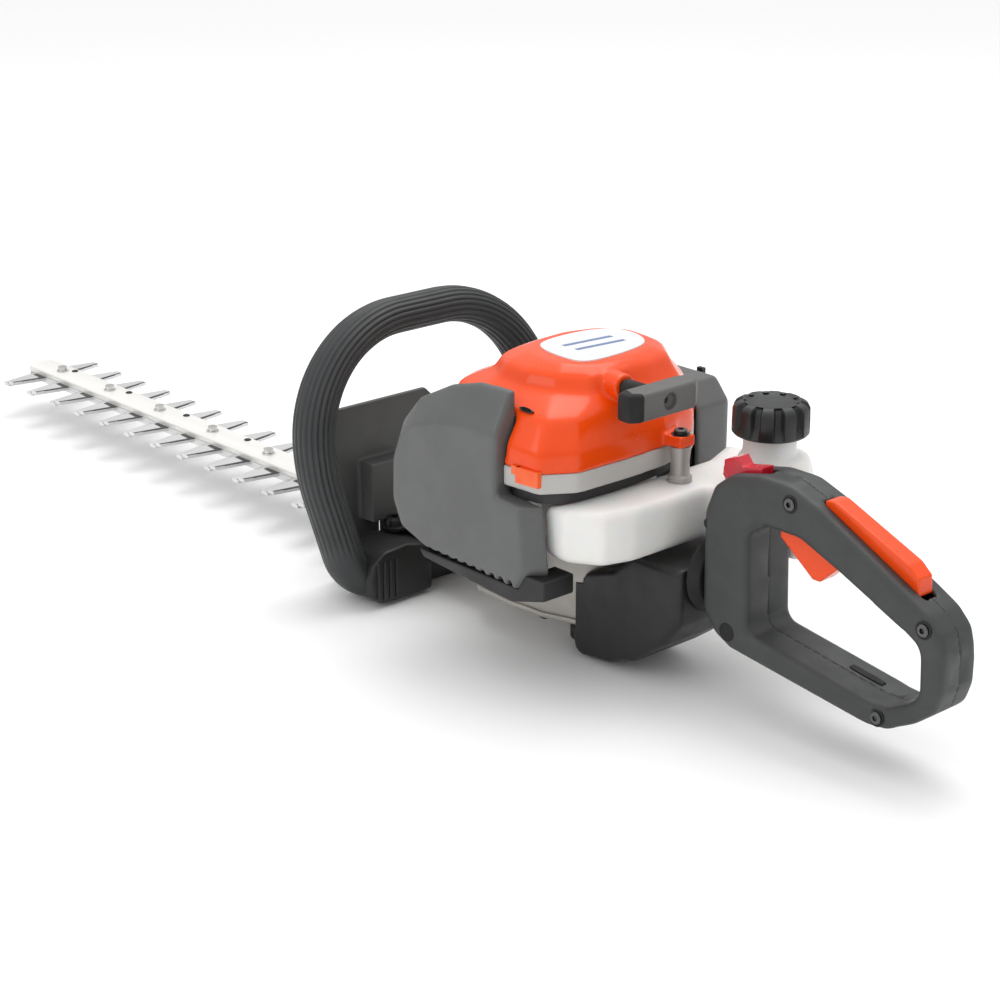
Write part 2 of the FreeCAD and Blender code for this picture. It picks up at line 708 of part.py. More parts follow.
def air_side():
    node("carburettor", cut(
        fuse(box((-64, 30, 92), (-36, 62, 120)), cylinder(9, 6, (-50, 62, d.engine_axis), "Y")),
        cylinder(6, 40, (-50, 29.5, d.engine_axis), "Y"),
    ))
    node("air_filter_base", cut(
        box((-72, 68, 84), (10, 71, 148)),
        cylinder(9, 5, (-50, 67, d.engine_axis), "Y"),
    ))
    node("air_filter", box((-68, 71.2, 88), (-28, 86, 124)))
    cover = Piece("air_filter_cover")
    outline = [(-76, 90), (-66, 80), (4, 80), (14, 90), (14, 138), (2, 152), (-58, 152), (-76, 140)]
    cover.pad("XZ", -71, 33, [outline], reverse=True)
    cover.round(8, lambda edge: at_level(edge, "y", 104))
    cover.pocket("XZ", -71, 30, [inset(outline, d.cover_wall)])
    cover.pocket("XZ", -71, 40, [], [((-40, 98), 10.6)])


def air_controls():
    """Choke lever on the filter side and the rubber purge bulb under the carburettor."""
    node("choke_lever", fuse(
        cylinder(4, 8, (-20, 104.3, 128), "Y"),
        box((-22.5, 108.3, 128), (-17.5, 111.3, 150)),
    ))
    node("purge_bulb", cone(10, 7, 10, (-40, 99, 98), "Y"))


def fuel_tank():
    tank = Piece("tank_shell")
    plan = [
        (34, -78), (52, -79), (72, -66), (78, -46), (78, 12), (100, 22), (138, 22), (146, 36),
        (140, 60), (112, 80), (70, 86), (28, 84), (42, 50), (42, -40),
    ]
    tank.pad("XY", d.tank_low, d.tank_top - d.tank_low, [plan])
    tank.round(6, lambda edge: at_level(edge, "z", d.tank_top) or at_level(edge, "z", d.tank_low))
    node_tank = tank.body
    nodes.remove(node_tank)
    neck = cone(27, 21, 22, (d.cap_x, d.cap_y + 4, d.tank_top - 4))
    spout = cylinder(16, 26, (d.cap_x, d.cap_y, d.tank_top + 12))
    solid = fuse(node_tank, neck, spout)
    node("fuel_tank", cut(
        solid,
        cylinder(12, 70, (d.cap_x, d.cap_y, d.tank_low + 4)),
        box((48, -60, d.tank_low + 4), (70, 10, d.tank_top - 4)),
    ))


def fuel_cap():
    cap = cut(
        cylinder(d.cap_radius, 20, (d.cap_x, d.cap_y, d.cap_low)),
        cylinder(16.4, 8, (d.cap_x, d.cap_y, d.cap_low)),
    )
    node("fuel_cap", cap)
    node("cap_seal", ring(16, 12, 1.8, (d.cap_x, d.cap_y, d.tank_top + 38.1)))


def rear_bracket():
    bracket = Piece("rear_bracket")
    profile = [
        (2, 44), (5, 30), (10, 4), (16, 1), (40, 4), (60, 11), (86, 30), (98, 46),
        (98, 80), (60, 80), (44, 66), (2, 52),
    ]
    bracket.pad("XZ", -30, 60, [profile])
    bracket.round(4, lambda edge: at_level(edge, "y", 30) or at_level(edge, "y", -30))
    bracket.pad("XY", 0, 20, [rectangle((-8, -16), (40, 16))])
    bracket.round(3, lambda edge: at_level(edge, "z", 0))
    cradle = d.cover_low - 0.3
    bracket.pocket("XY", cradle, 90, [], [((0, 0), 32)], reverse=True)
    bracket.pocket("XY", d.case_top - 0.5, 90, [], [((0, 0), d.clutch_case_radius + 0.5)], reverse=True)


# ---------------------------------------------------------------- front handle and guard

def loop_path():
    """Half of the loop's centre line, from the foot up to the middle of the top."""
    half, foot, top = number_of(d.loop_half), number_of(d.loop_foot), number_of(d.loop_top)
    return [(-29, foot), (-half + 18, foot), (-half + 1, 88), (-half + 3, top), (0, top)]


def rounded_path(corners, radii):
    """Joins straight runs with tangent arcs in the YZ plane."""
    edges = []
    start = corners[0]
    for before, corner, after, radius in zip(corners, corners[1:], corners[2:], radii):
        back, ahead = (before - corner).normalize(), (after - corner).normalize()
        half_angle = math.acos(max(-1, min(1, back.dot(ahead)))) / 2
        reach = radius / math.tan(half_angle)
        middle = (back + ahead).normalize()
        arc_start, arc_end = corner + back * reach, corner + ahead * reach
        arc_middle = corner + middle * (radius / math.sin(half_angle) - radius)
        edges.append(Part.LineSegment(start, arc_start).toShape())
        edges.append(Part.Arc(arc_start, arc_middle, arc_end).toShape())
        start = arc_end
    edges.append(Part.LineSegment(start, corners[-1]).toShape())
    return Part.Wire(edges)


def front_handle():
    """The loop: one tube swept along straight runs and tangent arcs, leaning forward."""
    left = loop_path()
    right = [(-y, z) for y, z in reversed(left[:-1])]
    corners = [Vector(0, y, z) for y, z in left[:-1] + right]
    path = rounded_path(corners, [26, 120, 76, 76, 120, 26])
    thick, deep = number_of(d.loop_thick) / 2, number_of(d.loop_deep) / 2
    start = corners[0]
    section = Part.Ellipse(start + Vector(deep, 0, 0), start + Vector(0, 0, thick), start).toShape()
    tube = path.makePipeShell([Part.Wire(section)], True, True)
    lean = Rotation(Vector(0, 1, 0), -number_of(d.loop_lean))
    thing = feature("front_handle", tube)
    thing.Placement = Placement(Vector(number_of(d.loop_x), 0, 0), lean)
    bind(thing, "Placement.Base.x", d.loop_x)


def handle_bracket():
    bracket = Piece("handle_bracket")
    plan = rectangle((-165, -28.5), (-140.3, 28.5))
    bracket.pad("XY", 1, 37, [plan])
    bracket.pocket("XY", 19, 20, [rectangle((-170, -23.5), (-130, 23.5))], reverse=True)
    bracket.pocket("XY", 36, 5, [rectangle((-170, -40), (-130, -20))], reverse=True)


def hand_guard():
    guard = Piece("hand_guard")
    face = [
        (-64, 10), (-80, 96), (-72, 112), (-60, 118), (16, 118), (28, 106), (28, 60), (46, 40), (50, 10),
        (26, 10), (26, 38), (-26, 38), (-26, 10),
    ]
    guard.pad("YZ", d.guard_x, 4, [face])
    guard.pad("YZ", d.guard_x + 4, 14, [[(-42, 40), (-42, 80), (-8, 80), (-8, 40)]])


# ---------------------------------------------------------------- rear handle

HANDLE = [
    (106, 58), (105, 118), (110, 134), (120, 142), (142, 147), (164, 147), (184, 140), (249, 108), (264, 100),
    (273, 91), (276, 80), (276, 58), (272, 46), (258, 35), (242, 27), (230, 26.5), (128, 39), (116, 45),
]
WINDOW = [
    (141, 53), (139, 112), (146, 118), (172, 118), (201, 106.5), (248, 86), (257, 81), (260, 74),
    (261, 54), (256, 48), (242, 40), (231, 40),
]


def handle_half(label, side):
    """One moulded half of the rear handle, from the seam at y = 0 outwards."""
    half = Piece(label)
    outwards = side > 0
    half.pad("XZ", 0, d.grip_half, [HANDLE, WINDOW], reverse=outwards)
    half.round(8, lambda edge: along(edge, "y"))
    half.round(5, lambda edge: at_level(edge, "y", side * d.grip_half))
    depth = d.grip_half - d.grip_wall
    rim = inset(HANDLE, d.grip_wall)
    core = inset(list(reversed(WINDOW)), -d.grip_wall)
    half.pocket("XZ", 0, depth, [rim, core], reverse=not outwards)
    slots = [
        [(150, 106), (148, 126), (196, 126), (206, 100)],
        [(181, 132), (181, 150), (256, 118), (254, 100)],
        [(105, 128), (98, 150), (142, 160), (142, 138)],
    ]
    half.pocket("XZ", 0, 6.5, slots, reverse=not outwards)


def rear_handle():
    handle_half("rear_handle_left", -1)
    handle_half("rear_handle_right", 1)
    neck = cut(
        cone(26, 20, 6.5, (98.2, 0, 74), "X"),
        cylinder(12, 30, (85, 0, 74), "X"),
    )
    node("neck_damper", neck)


def cover_screws():
    """Every visible screw head: rear handle, gear case and starter lug."""
    handle_places = ((166, 137), (262, 92), (237, 33.5), (127, 49))
    screws = [cylinder(4.5, 1.5, (x, -d.grip_half, z), "-Y") for x, z in handle_places]
    for x, y in ((-62, 30), (-62, -30), (-14, 31), (-14, -31)):
        screws.append(cylinder(3.2, 3, (x, y, d.cover_low - 3)))
    screws.append(cylinder(5, 4, (60, 8, 147)))
    node("cover_screws", group(*screws))


def controls():
    trigger = Piece("throttle_trigger")
    blade = [(152, 112), (152, 122), (160, 125), (184, 119), (198, 108), (192, 102), (182, 93), (177, 93)]
    trigger.pad("XZ", -6, 12, [blade])
    trigger.round(2, lambda edge: along(edge, "y") and edge_middle(edge).z < 105)
    lockout = Piece("throttle_lockout")
    lever = [(184, 133), (183, 142), (190, 143), (243, 121), (250, 115), (251, 105), (244, 104)]
    lockout.pad("XZ", -6, 12, [lever])
    lockout.round(2, lambda edge: along(edge, "y") and edge_middle(edge).z > 120)
    switch = Piece("stop_switch")
    slider = [(110, 132), (106, 137), (107, 146), (117, 150), (121, 145), (136, 148), (136, 140)]
    switch.pad("XZ", -6, 12, [slider])


# ---------------------------------------------------------------- checks and files

def build():
    blade("upper_blade", upper_low, disc_shift, -5, 12.5)
    blade("lower_blade", d.blade_low, -disc_shift, -12.5, 5)
    eccentric("upper_eccentric", upper_low, 1)
    eccentric("lower_eccentric", d.blade_low, -1)
    guide_bar()
    bar_bolts()
    gear_train()
    clutch()
    gear_case()
    crankcase()
    crankshaft()
    piston()
    top_end()
    flywheel()
    starter()
    starter_housing()
    muffler_cover()
    air_side()
    fuel_tank()
    fuel_cap()
    rear_bracket()
    front_handle()
    handle_bracket()
    hand_guard()
    rear_handle()
    cover_screws()
    controls()
    air_controls()


def check():
    doc.recompute()
    for thing in doc.Objects:
        if "Invalid" in thing.State or "Error" in thing.State:
            raise RuntimeError(f"{thing.Label} did not build: {thing.State}")
    for thing in nodes:
        if thing.Shape.isNull() or not thing.Shape.isValid():
            raise RuntimeError(f"{thing.Label} has no valid shape")


def export():
    os.makedirs("parts", exist_ok=True)
    for thing in nodes:
        thing.Shape.exportStep(f"parts/{thing.Label}.step")
    print(f"{len(nodes)} parts written")


build()
check()
export()
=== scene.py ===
import json
import math

import bmesh
import bpy
from mathutils import Matrix, Quaternion, Vector


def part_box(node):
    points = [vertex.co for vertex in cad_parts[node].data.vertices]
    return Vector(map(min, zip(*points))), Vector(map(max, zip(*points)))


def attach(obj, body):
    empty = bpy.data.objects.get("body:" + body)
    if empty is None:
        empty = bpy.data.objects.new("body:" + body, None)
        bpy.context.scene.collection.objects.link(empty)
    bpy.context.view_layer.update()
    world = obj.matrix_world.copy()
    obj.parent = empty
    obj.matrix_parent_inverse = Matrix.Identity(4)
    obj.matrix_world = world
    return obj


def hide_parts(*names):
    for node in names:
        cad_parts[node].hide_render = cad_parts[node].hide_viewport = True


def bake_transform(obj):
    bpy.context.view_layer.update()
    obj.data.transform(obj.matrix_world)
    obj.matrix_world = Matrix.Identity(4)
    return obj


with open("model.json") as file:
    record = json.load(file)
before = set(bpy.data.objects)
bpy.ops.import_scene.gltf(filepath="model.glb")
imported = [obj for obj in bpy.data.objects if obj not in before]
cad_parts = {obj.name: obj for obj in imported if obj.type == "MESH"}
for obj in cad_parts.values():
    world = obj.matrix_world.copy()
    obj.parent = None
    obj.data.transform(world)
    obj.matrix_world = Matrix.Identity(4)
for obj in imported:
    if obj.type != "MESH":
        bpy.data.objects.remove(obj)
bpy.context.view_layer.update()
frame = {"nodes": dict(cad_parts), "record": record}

# Looks of the petrol hedge trimmer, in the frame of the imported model: +X to the rear handle,
# -X along the blades, -Y the side of the silencer cover, +Z up. Blender works in metres; the
# sizes and places here are in millimetres, times MM, up to the stage, the lights and the camera.

NODES = frame["nodes"]
ROOT = "engine_frame"
MM = 0.001


# ---------------------------------------------------------------- materials

def node_of(tree, kind, **values):
    """A shader node with its constant sockets set by name."""
    made = tree.nodes.new(kind)
    for name, value in values.items():
        made.inputs[name.replace("_", " ")].default_value = value
    return made


def tinted(colour, factor):
    """The colour made lighter or darker, with full alpha."""
    return tuple(min(1.0, part * factor) for part in colour) + (1.0,)


def material(name, colour, rough, metal=0.0, coat=0.0, grain=1400, relief=0.1, mottle=0.08,
             rough_spread=0.08, edge_tint=None, stretch=(1, 1, 1), specular=0.5, subsurface=0.0,
             transmission=0.0):
    """Moulded plastic, rubber or metal with uneven colour and gloss, fine grain relief and a lighter colour
    on convex edges.

    mottle and rough_spread are how far colour and roughness vary, grain is the scale of the relief,
    stretch is the grain's direction, and edge_tint is the lighter colour laid on the convex edges."""
    made = bpy.data.materials.new(name)
    made.use_nodes = True
    tree = made.node_tree
    shader = tree.nodes["Principled BSDF"]
    shader.inputs["Metallic"].default_value = metal
    shader.inputs["Coat Weight"].default_value = coat
    shader.inputs["Coat Roughness"].default_value = 0.12
    shader.inputs["Specular IOR Level"].default_value = specular
    shader.inputs["Subsurface Weight"].default_value = subsurface
    shader.inputs["Subsurface Scale"].default_value = 6 * MM
    shader.inputs["Transmission Weight"].default_value = transmission
    place = tree.nodes.new("ShaderNodeTexCoord")
    mapping = node_of(tree, "ShaderNodeMapping", Scale=stretch)
    tree.links.new(place.outputs["Object"], mapping.inputs["Vector"])
    broad = node_of(tree, "ShaderNodeTexNoise", Scale=22.0, Detail=4.0, Roughness=0.6)
    fine = node_of(tree, "ShaderNodeTexNoise", Scale=float(grain), Detail=3.0, Roughness=0.65)
    smudge = node_of(tree, "ShaderNodeTexNoise", Scale=70.0, Detail=5.0, Roughness=0.55)
    for texture in (broad, fine, smudge):
        tree.links.new(mapping.outputs["Vector"], texture.inputs["Vector"])
    tone = tree.nodes.new("ShaderNodeValToRGB")
    tone.color_ramp.elements[0].position = 0.3
    tone.color_ramp.elements[1].position = 0.7
    tone.color_ramp.elements[0].color = tinted(colour, 1 - mottle)
    tone.color_ramp.elements[1].color = tinted(colour, 1 + mottle)
    tree.links.new(broad.outputs["Fac"], tone.inputs["Fac"])
    base = tone.outputs["Color"]
    if edge_tint:
        base = lighter_convex_edges(tree, base, smudge, edge_tint)
    tree.links.new(base, shader.inputs["Base Color"])
    gloss = node_of(tree, "ShaderNodeMapRange", To_Min=rough - rough_spread, To_Max=rough + rough_spread)
    gloss.inputs["From Min"].default_value = 0.3
    gloss.inputs["From Max"].default_value = 0.7
    tree.links.new(smudge.outputs["Fac"], gloss.inputs["Value"])
    tree.links.new(gloss.outputs["Result"], shader.inputs["Roughness"])
    bump = node_of(tree, "ShaderNodeBump", Strength=relief, Distance=0.2 * MM)
    tree.links.new(fine.outputs["Fac"], bump.inputs["Height"])
    tree.links.new(bump.outputs["Normal"], shader.inputs["Normal"])
    return made


def lighter_convex_edges(tree, base, smudge, edge_tint):
    """The base colour with a lighter one on its convex edges, broken up by the smudge noise."""
    shape = tree.nodes.new("ShaderNodeNewGeometry")
    edge = node_of(tree, "ShaderNodeMapRange", To_Max=0.55)
    edge.inputs["From Min"].default_value = 0.53
    edge.inputs["From Max"].default_value = 0.62
    tree.links.new(shape.outputs["Pointiness"], edge.inputs["Value"])
    broken = tree.nodes.new("ShaderNodeMath")
    broken.operation = "MULTIPLY"
    tree.links.new(edge.outputs["Result"], broken.inputs[0])
    tree.links.new(smudge.outputs["Fac"], broken.inputs[1])
    mix = tree.nodes.new("ShaderNodeMix")
    mix.data_type = "RGBA"
    mix.inputs["B"].default_value = edge_tint + (1.0,)
    tree.links.new(broken.outputs["Value"], mix.inputs["Factor"])
    tree.links.new(base, mix.inputs["A"])
    return mix.outputs["Result"]


def braided(name, colour):
    """Rope: two crossed wave patterns make the braid."""
    made = material(name, colour, 0.85, relief=0.2, mottle=0.15)
    tree = made.node_tree
    shader = tree.nodes["Principled BSDF"]
    place = tree.nodes.new("ShaderNodeTexCoord")
    wave = node_of(tree, "ShaderNodeTexWave", Scale=420.0, Distortion=1.5, Detail=1.0)
    wave.bands_direction = "DIAGONAL"
    bump = node_of(tree, "ShaderNodeBump", Strength=0.8, Distance=0.3 * MM)
    tree.links.new(place.outputs["Object"], wave.inputs["Vector"])
    tree.links.new(wave.outputs["Fac"], bump.inputs["Height"])
    tree.links.new(bump.outputs["Normal"], shader.inputs["Normal"])
    return made


def foam(name, colour):
    """Open-cell foam: a cell pattern drives both colour and relief."""
    made = material(name, colour, 0.95, relief=0.3, mottle=0.2)
    tree = made.node_tree
    shader = tree.nodes["Principled BSDF"]
    place = tree.nodes.new("ShaderNodeTexCoord")
    cells = node_of(tree, "ShaderNodeTexVoronoi", Scale=900.0)
    bump = node_of(tree, "ShaderNodeBump", Strength=1.0, Distance=0.5 * MM)
    tree.links.new(place.outputs["Object"], cells.inputs["Vector"])
    tree.links.new(cells.outputs["Distance"], bump.inputs["Height"])
    tree.links.new(bump.outputs["Normal"], shader.inputs["Normal"])
    return made


ALONG_BAR, ACROSS_BAR = (0.04, 1, 1), (1, 0.06, 1)

LOOKS = {
    "bar_metal": material(
        "satin_bar", (0.86, 0.85, 0.82), 0.4, metal=0.35, grain=700, relief=0.06, stretch=ALONG_BAR),
    "blade_steel": material(
        "ground_steel", (0.68, 0.68, 0.68), 0.34, metal=0.6, grain=900, relief=0.1, stretch=ACROSS_BAR),
    "bright_steel": material("zinc_steel", (0.62, 0.62, 0.61), 0.28, metal=1.0, grain=900, relief=0.05),
    "dark_steel": material("oiled_steel", (0.16, 0.16, 0.165), 0.38, metal=0.9, grain=800, relief=0.08),
    "cast_alloy": material(
        "die_cast_alloy", (0.46, 0.44, 0.41), 0.5, metal=0.6, grain=420, relief=0.25, mottle=0.12),
    "black_plastic": material(
        "black_plastic", (0.0075, 0.0075, 0.008), 0.45, relief=0.18, edge_tint=(0.06, 0.06, 0.06)),
    "dark_plastic": material(
        "charcoal_plastic", (0.041, 0.044, 0.044), 0.5, relief=0.3, edge_tint=(0.12, 0.12, 0.12)),
    "grey_plastic": material(
        "grey_plastic", (0.105, 0.108, 0.107), 0.42, relief=0.3, edge_tint=(0.2, 0.2, 0.2)),
    "grip_rubber": material(
        "grip_rubber", (0.11, 0.108, 0.104), 0.5, relief=0.3, edge_tint=(0.14, 0.14, 0.14)),
    "black_rubber": material("black_rubber", (0.006, 0.006, 0.006), 0.7, relief=0.2),
    "orange_plastic": material(
        "orange_plastic", (0.90, 0.072, 0.003), 0.24, coat=0.18, specular=0.3, grain=500, relief=0.02,
        mottle=0.04, rough_spread=0.04, edge_tint=(1.0, 0.3, 0.1)),
    "light_plastic": material("light_grey_plastic", (0.50, 0.49, 0.47), 0.42, relief=0.15, mottle=0.04),
    "tank_plastic": material(
        "milky_plastic", (0.84, 0.84, 0.82), 0.36, relief=0.08, mottle=0.02, subsurface=0.35),
    "red_plastic": material("red_plastic", (0.62, 0.012, 0.03), 0.26, coat=0.3, grain=500, relief=0.03),
    "rope": braided("braided_rope", (0.30, 0.30, 0.28)),
    "filter_foam": foam("filter_foam", (0.05, 0.055, 0.05)),
    "clear_bulb": material("clear_rubber", (0.62, 0.62, 0.58), 0.25, relief=0.03, transmission=0.5),
    "black_screw": material("black_oxide", (0.022, 0.022, 0.023), 0.35, metal=0.6, relief=0.08),
}
SCREW_CORE = material("screw_core", (0.11, 0.11, 0.11), 0.35, metal=0.6, relief=0.05)
LOOP_GRIP = material("loop_grip", (0.026, 0.029, 0.030), 0.48, relief=0.3, edge_tint=(0.1, 0.1, 0.1))
GUARD_GREY = material("guard_grey", (0.085, 0.090, 0.087), 0.5, relief=0.3, edge_tint=(0.2, 0.2, 0.2))
CAP_PLASTIC = material("cap_plastic", (0.016, 0.018, 0.017), 0.42, relief=0.2, edge_tint=(0.08, 0.08, 0.08))
SILVER_GREY = material("silver_grey", (0.40, 0.39, 0.37), 0.4, metal=0.3, relief=0.12)
# Painted shade: the ground bevels are real, but this dark colour on them and on the strip along each tooth
# root stands for shade.
EDGE_SHADE = material(
    "painted_edge_shade", (0.035, 0.04, 0.045), 0.3, metal=0.7, relief=0.1, stretch=ACROSS_BAR)
LABEL_WHITE = material("label_white", (0.80, 0.81, 0.83), 0.3, coat=0.3, relief=0.02, mottle=0.02)
LABEL_BAR = material("label_bar", (0.10, 0.17, 0.38), 0.3, coat=0.3, relief=0.02, mottle=0.02)


def dress_cad_nodes():
    """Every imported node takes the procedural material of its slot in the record."""
    for part in frame["record"]["subparts"]:
        mesh = NODES[part["node"]].data
        mesh.materials.clear()
        mesh.materials.append(LOOKS[part["material_slot"]])


# ---------------------------------------------------------------- mesh helpers

WELD_DISTANCE = 0.002 * MM
PLAN_PASSES = 60


def piece(name, mesh, body, slot, replaced=(), materials=None):
    """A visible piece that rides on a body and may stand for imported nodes."""
    thing = bpy.data.objects.new(name, mesh)
    bpy.context.scene.collection.objects.link(thing)
    looks = materials or [LOOKS[slot]]
    numbers = [min(face.material_index, len(looks) - 1) for face in mesh.polygons]
    mesh.materials.clear()  # this resets the faces' material numbers, so they are set again below
    for look in looks:
        mesh.materials.append(look)
    mesh.polygons.foreach_set("material_index", numbers)
    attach(thing, body)
    if replaced:
        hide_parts(*replaced)
    return thing


def loose(mesh):
    """A working object for a mesh."""
    thing = bpy.data.objects.new("work", mesh)
    bpy.context.scene.collection.objects.link(thing)
    return thing


def evaluated(thing):
    """The thing's mesh with its modifiers applied; the thing itself goes."""
    graph = bpy.context.evaluated_depsgraph_get()
    mesh = bpy.data.meshes.new_from_object(thing.evaluated_get(graph), depsgraph=graph)
    bpy.data.objects.remove(thing)
    return mesh


def face_outward(mesh):
    made = bmesh.new()
    made.from_mesh(mesh)
    bmesh.ops.recalc_face_normals(made, faces=made.faces)
    made.to_mesh(mesh)
    made.free()


def shade(mesh, smooth=True):
    for face in mesh.polygons:
        face.use_smooth = smooth


def crisp_corners(mesh, angle=35):
    """Smooth sides with crisp corners, from that many degrees up."""
    mesh.set_sharp_from_angle(angle=math.radians(angle))


def mesh_from(name, corners, faces, smooth=True):
    mesh = bpy.data.meshes.new(name)
    mesh.from_pydata(corners, [], faces)
    face_outward(mesh)
    shade(mesh, smooth)
    return mesh


def ring_faces(rings, sides):
    """The faces between rings of points that follow one another."""
    return [
        (row * sides + side, row * sides + (side + 1) % sides,
         (row + 1) * sides + (side + 1) % sides, (row + 1) * sides + side)
        for row in range(rings - 1) for side in range(sides)
    ]


def turned(name, rings, sides, radius_at=lambda ring, angle: ring[0]):
    """A closed turned shape about Z from (radius, height) rings; radius_at may vary the radius."""
    corners = []
    for ring in rings:
        for side in range(sides):
            angle = 2 * math.pi * side / sides
            radius = radius_at(ring, angle)
            corners.append(Vector((radius * math.cos(angle), radius * math.sin(angle), ring[1])) * MM)
    faces = ring_faces(len(rings), sides)
    faces.append(tuple(reversed(range(sides))))
    faces.append(tuple((len(rings) - 1) * sides + side for side in range(sides)))
    return mesh_from(name, corners, faces)


def box_mesh(low, high):
    """A plain closed box, used as a cutter or as one bar of a larger piece."""
    xs, ys, zs = zip(low, high)
    corners = [Vector((x, y, z)) for x in xs for y in ys for z in zs]
    faces = [(0, 1, 3, 2), (4, 6, 7, 5), (0, 4, 5, 1), (2, 3, 7, 6), (0, 2, 6, 4), (1, 5, 7, 3)]
    return mesh_from("box", [c * MM for c in corners], faces, smooth=False)


def prism(outline, low, high):
    """An upright prism of an (x, y) outline."""
    count = len(outline)
    corners = [Vector((x, y, z)) * MM for z in (low, high) for x, y in outline]
    faces = [(k, (k + 1) % count, count + (k + 1) % count, count + k) for k in range(count)]
    faces += [tuple(reversed(range(count))), tuple(range(count, 2 * count))]
    return mesh_from("prism", corners, faces, smooth=False)


def soft_prism(outline, low, high, radius, axis="X"):
    """A prism along X of a (y, z) outline, or along Y of an (x, z) one, with rounded edges."""
    turns = {
        "X": Matrix(((0, 0, 1, 0), (1, 0, 0, 0), (0, 1, 0, 0), (0, 0, 0, 1))),
        "Y": Matrix(((1, 0, 0, 0), (0, 0, 1, 0), (0, 1, 0, 0), (0, 0, 0, 1))),
    }
    mesh = prism(outline, low, high)
    mesh.transform(turns[axis])
    thing = loose(mesh)
    bevel = thing.modifiers.new("soft", "BEVEL")
    bevel.width = radius * MM
    bevel.segments = 4
    result = evaluated(thing)
    face_outward(result)
    shade(result)
    crisp_corners(result, 40)
    return result


def smooth_outline(points, steps):
    """A closed Catmull-Rom curve through the points."""
    count = len(points)
    line = []
    for index in range(count):
        p0, p1, p2, p3 = (Vector(points[(index + k) % count]) for k in (-1, 0, 1, 2))
        for step in range(steps):
            u = step / steps
            square = (2 * p0 - 5 * p1 + 4 * p2 - p3) * u ** 2
            cube = (3 * p1 - p0 - 3 * p2 + p3) * u ** 3
            line.append(0.5 * (2 * p1 + (p2 - p0) * u + square + cube))
    return [(point.x, point.y) for point in line]


def moved(mesh, place, axis="Z"):
    """Turns a mesh made about Z to face along axis and moves it to a place."""
    turns = {"Z": Matrix.Identity(4), "-Y": Matrix.Rotation(math.radians(90), 4, "X")}
    mesh.transform(Matrix.Translation(Vector(place) * MM) @ turns[axis])
    return mesh


def joined(name, meshes):
    """One mesh out of several, keeping each face's material number."""
    whole = bmesh.new()
    for mesh in meshes:
        whole.from_mesh(mesh)
    result = bpy.data.meshes.new(name)
    whole.to_mesh(result)
    whole.free()
    return result


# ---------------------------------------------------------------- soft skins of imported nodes

def welded_copy(node):
    """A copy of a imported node's mesh with its doubled points merged."""
    mesh = NODES[node].data.copy()
    made = bmesh.new()
    made.from_mesh(mesh)
    bmesh.ops.remove_doubles(made, verts=made.verts, dist=WELD_DISTANCE)
    made.to_mesh(mesh)
    made.free()
    return mesh


def remeshed(mesh, voxel, carve):
    """A working object of the mesh in small even faces, with the boxes of carve sunk into it."""
    thing = loose(mesh)
    cutters = [loose(box_mesh(low, high)) for low, high in carve]
    for cutter in cutters:
        sink = thing.modifiers.new("sink", "BOOLEAN")
        sink.operation = "DIFFERENCE"
        sink.solver = "EXACT"
        sink.object = cutter
    fine = thing.modifiers.new("fine", "REMESH")
    fine.mode = "VOXEL"
    fine.voxel_size = voxel * MM
    fine.use_smooth_shade = True
    result = loose(evaluated(thing))
    for cutter in cutters:
        bpy.data.objects.remove(cutter)
    return result


def rounded(thing, name, passes, chosen=None):
    """A smoothing modifier over the whole thing, or over the points that chosen picks."""
    smooth = thing.modifiers.new(name, "SMOOTH")
    smooth.iterations = passes
    if chosen:
        group = thing.vertex_groups.new(name=name)
        group.add([v.index for v in thing.data.vertices if chosen(v.co)], 1.0, "REPLACE")
        smooth.vertex_group = name
    return smooth


def moulded(node, voxel, passes, ratio=0.22, shape=None, grip=None, grip_passes=30, keep=None,
            carve=(), plan=None):
    """A soft-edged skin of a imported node: remeshed finely, rounded by smoothing, then thinned out.

    shape moves points before the rounding, grip picks the points that are rounded more, keep picks
    the points that stay crisp, carve lists low and high corners of boxes to sink into the skin, plan
    picks the points whose upright edges are rounded in plan only."""
    thing = remeshed(welded_copy(node), voxel, carve)
    if shape:
        for vertex in thing.data.vertices:
            vertex.co = shape(vertex.co)
    if plan:
        rounded(thing, "in_plan", PLAN_PASSES, plan).use_z = False
    if grip:
        rounded(thing, "round_more", grip_passes, grip)
    rounded(thing, "round", passes, keep).invert_vertex_group = bool(keep)
    thin = thing.modifiers.new("thin", "DECIMATE")
    thin.ratio = ratio
    result = evaluated(thing)
    shade(result)
    return result


def clamped(value):
    return min(1.0, max(0.0, value))


def smooth_step(value, start, end):
    amount = clamped((value - start) / (end - start))
    return amount * amount * (3 - 2 * amount)


# ---------------------------------------------------------------- front loop

LOOP_X, LOOP_LEAN = -145, 9
LOOP_HALF, LOOP_TOP, LOOP_FOOT = 96, 179, 12.3
LOOP_THICK, LOOP_DEEP = 24, 33
LOOP_LIMB = [(-29, LOOP_FOOT), (18 - LOOP_HALF, LOOP_FOOT), (1 - LOOP_HALF, 88), (3 - LOOP_HALF, LOOP_TOP)]
LOOP_BENDS, LOOP_STEP = [26, 120, 76, 76, 120, 26], 3
RIBS, RIB_STEPS, RIB_DEPTH = 22, 8, 0.075
RIB_FADE_FOOT, RIB_FADE_LONG = 34, 14


